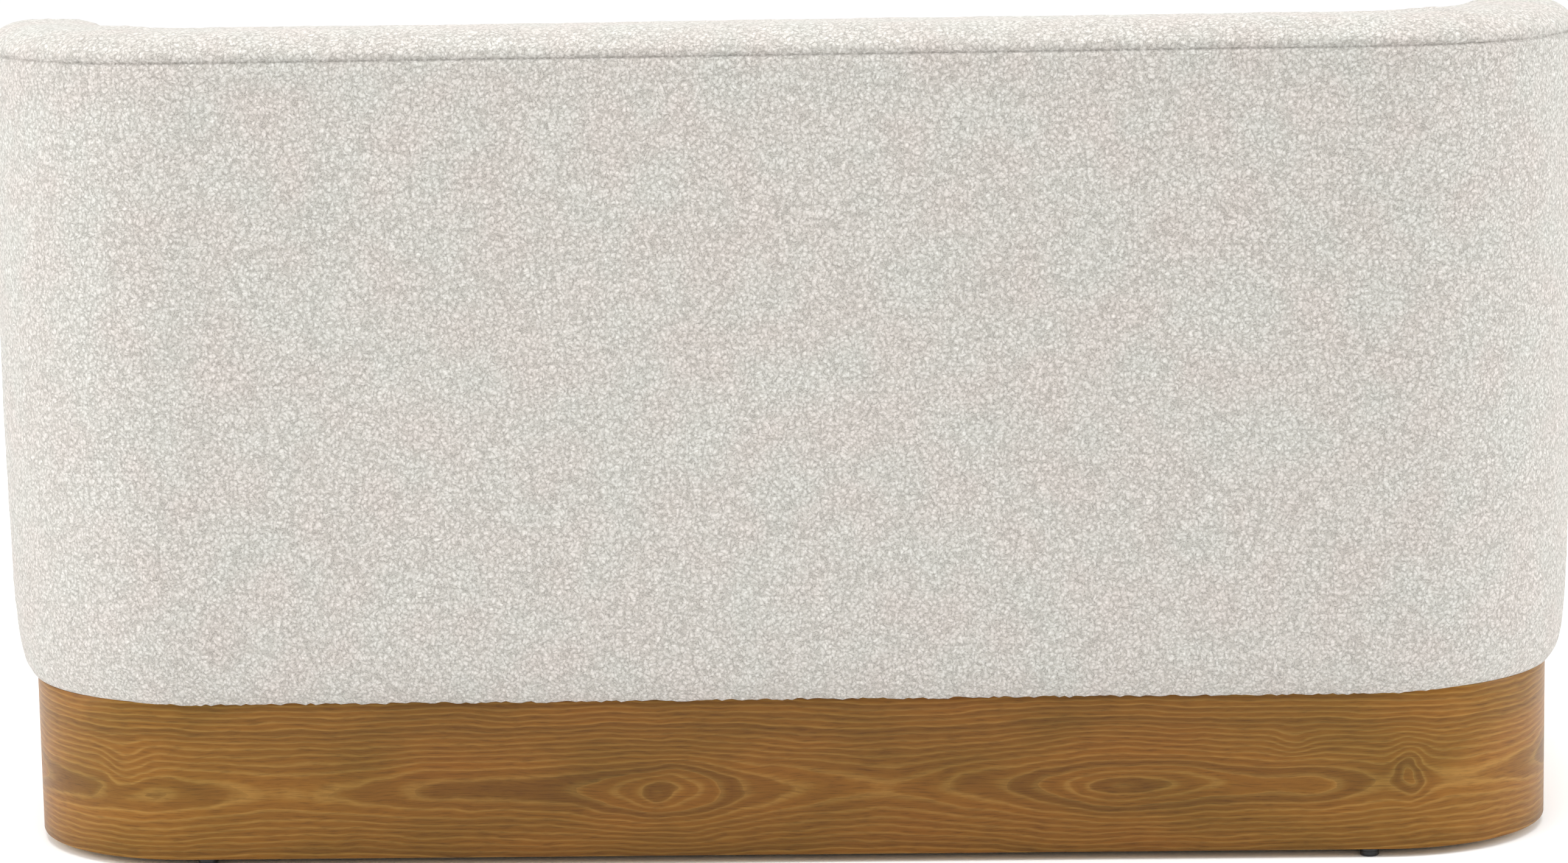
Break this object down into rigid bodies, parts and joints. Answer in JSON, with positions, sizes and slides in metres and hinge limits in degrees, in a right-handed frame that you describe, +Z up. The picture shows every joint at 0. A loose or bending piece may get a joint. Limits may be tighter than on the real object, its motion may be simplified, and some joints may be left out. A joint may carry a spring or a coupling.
{
  "type": "sofa",
  "caption": "Barrel-backed two-seat sofa in looped bouclé on a rounded wood-veneered plinth, with a loose bench cushion.",
  "frame": {"origin": "on the floor, under the middle of the sofa's outline", "axes": "+X to the right as seen from the front, +Y to the back, +Z up"},
  "size_m": [1.5, 0.8, 0.7845],
  "materials": {
    "boucle": "matte",
    "ash_veneer": "satin",
    "plywood": "matte",
    "timber": "matte",
    "foam": "matte",
    "felt": "matte",
    "black_lining": "matte",
    "steel": "satin",
    "black_plastic": "satin"
  },
  "bodies": {
    "sofa_frame": {"outer_wrap_cover": "boucle", "top_band_cover": "boucle", "inner_back_cover": "boucle", "inner_arm_cover_left": "boucle", "inner_arm_cover_right": "boucle", "front_rail_cover": "boucle", "deck_cover": "boucle", "plinth_veneer": "ash_veneer", "plinth_back_board": "plywood", "plinth_front_board": "plywood", "plinth_left_board": "plywood", "plinth_right_board": "plywood", "plinth_bend_rear_right": "plywood", "plinth_bend_rear_left": "plywood", "plinth_bend_front_left": "plywood", "plinth_bend_front_right": "plywood", "plinth_rail_left": "plywood", "plinth_rail_right": "plywood", "base_board": "plywood", "outer_panel": "plywood", "back_top_rail": "plywood", "arm_top_rail_right": "plywood", "arm_top_rail_left": "plywood", "seat_front_rail": "timber", "seat_back_rail": "timber", "seat_right_rail": "timber", "seat_left_rail": "timber", "seat_stretcher": "timber", "arm_post_front_right": "timber", "arm_post_front_left": "timber", "arm_post_rear_right": "timber", "arm_post_rear_left": "timber", "back_post_left": "timber", "back_post_middle": "timber", "back_post_right": "timber", "back_foam": "foam", "arm_foam_right": "foam", "arm_foam_left": "foam", "top_foam": "foam", "front_rail_foam": "foam", "deck_pad": "felt", "dust_cover": "black_lining", "seat_spring_1": "steel", "seat_spring_2": "steel", "seat_spring_3": "steel", "seat_spring_4": "steel", "seat_spring_5": "steel", "body_screw_rear_right": "steel", "body_screw_rear_left": "steel", "body_screw_front_left": "steel", "body_screw_front_right": "steel", "glide_rear_right": "black_plastic", "glide_rear_left": "black_plastic", "glide_front_left": "black_plastic", "glide_front_right": "black_plastic"},
    "seat_cushion": {"seat_cushion": "boucle", "cushion_zip": "black_lining"},
    "zip_slider": {"cushion_zip_slider": "steel"}
  },
  "joints": [
    {"name": "cushion_lift", "type": "slide", "parent": "sofa_frame", "child": "seat_cushion", "axis": [0, 0, 1], "range_m": [0, 0.5]},
    {"name": "zip_travel", "type": "slide", "parent": "seat_cushion", "child": "zip_slider", "axis": [1, 0, 0], "range_m": [0, 0.98]}
  ]
}
